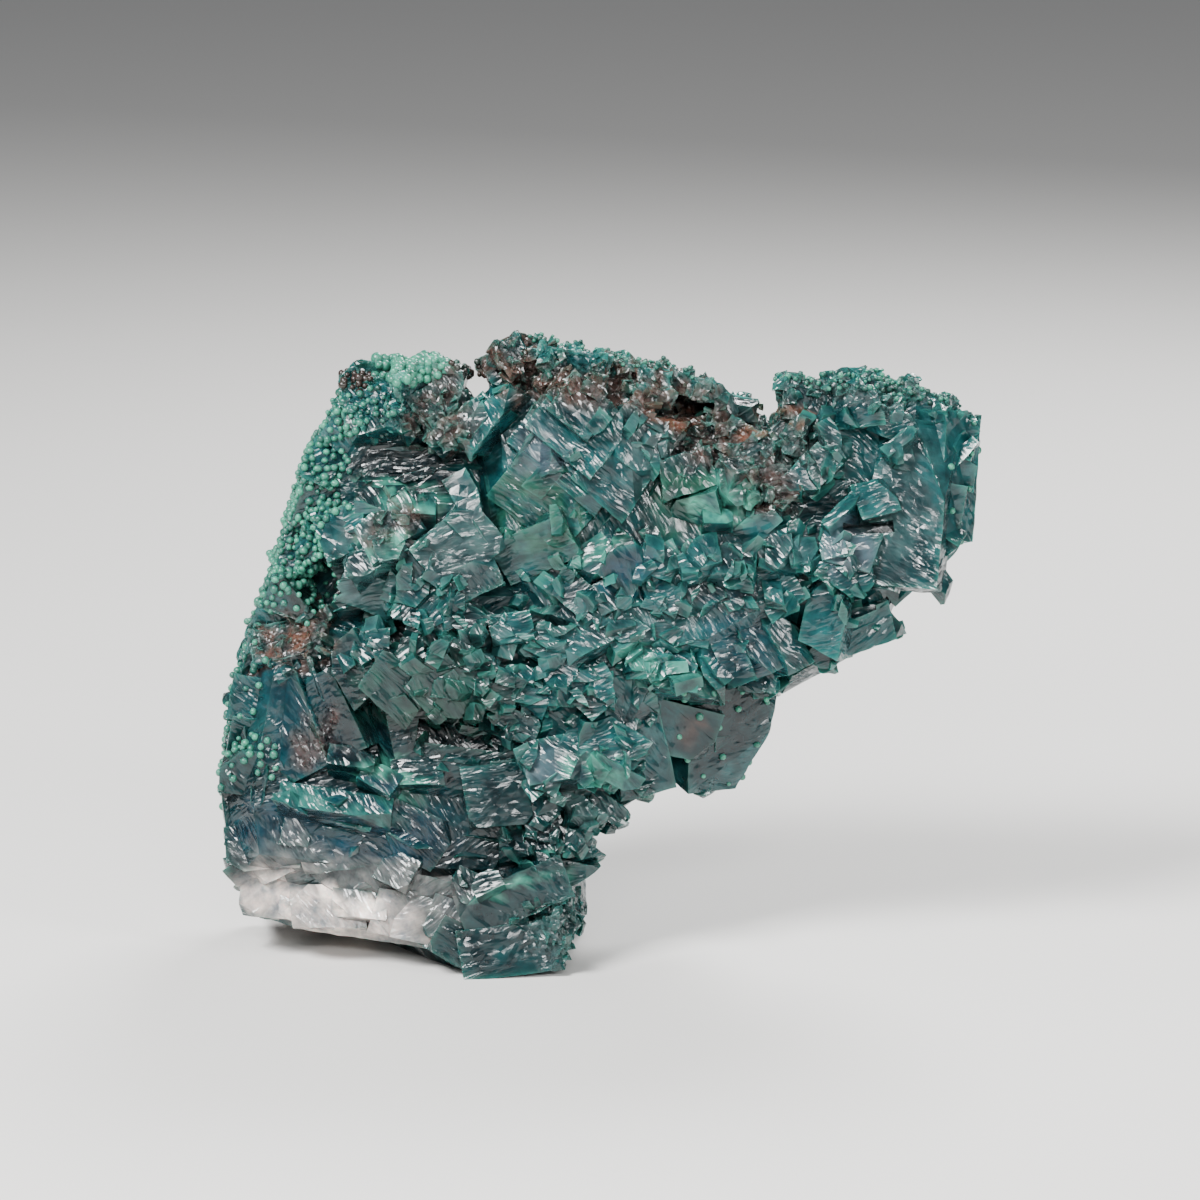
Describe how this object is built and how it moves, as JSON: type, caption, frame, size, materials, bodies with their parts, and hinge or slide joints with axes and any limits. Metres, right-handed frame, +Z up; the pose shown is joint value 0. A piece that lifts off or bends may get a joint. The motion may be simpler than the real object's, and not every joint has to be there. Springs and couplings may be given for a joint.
{
  "type": "apophyllite crystal cluster",
  "caption": "Upright mass of intergrown teal crystals with an arm to the upper right, a crust of small round beads and a flat-cut foot.",
  "frame": {"origin": "middle of the bounding box, at the level of the flat cut under the foot", "axes": "+X to the tip of the arm, +Y to the back, +Z up"},
  "size_m": [0.1146, 0.0456, 0.0932],
  "materials": {
    "teal_crystal": "glassy deep teal crystal with silvery striations, mint edges and a white base"
  },
  "bodies": {
    "root": {"crystal_cluster": "teal_crystal"}
  },
  "joints": []
}
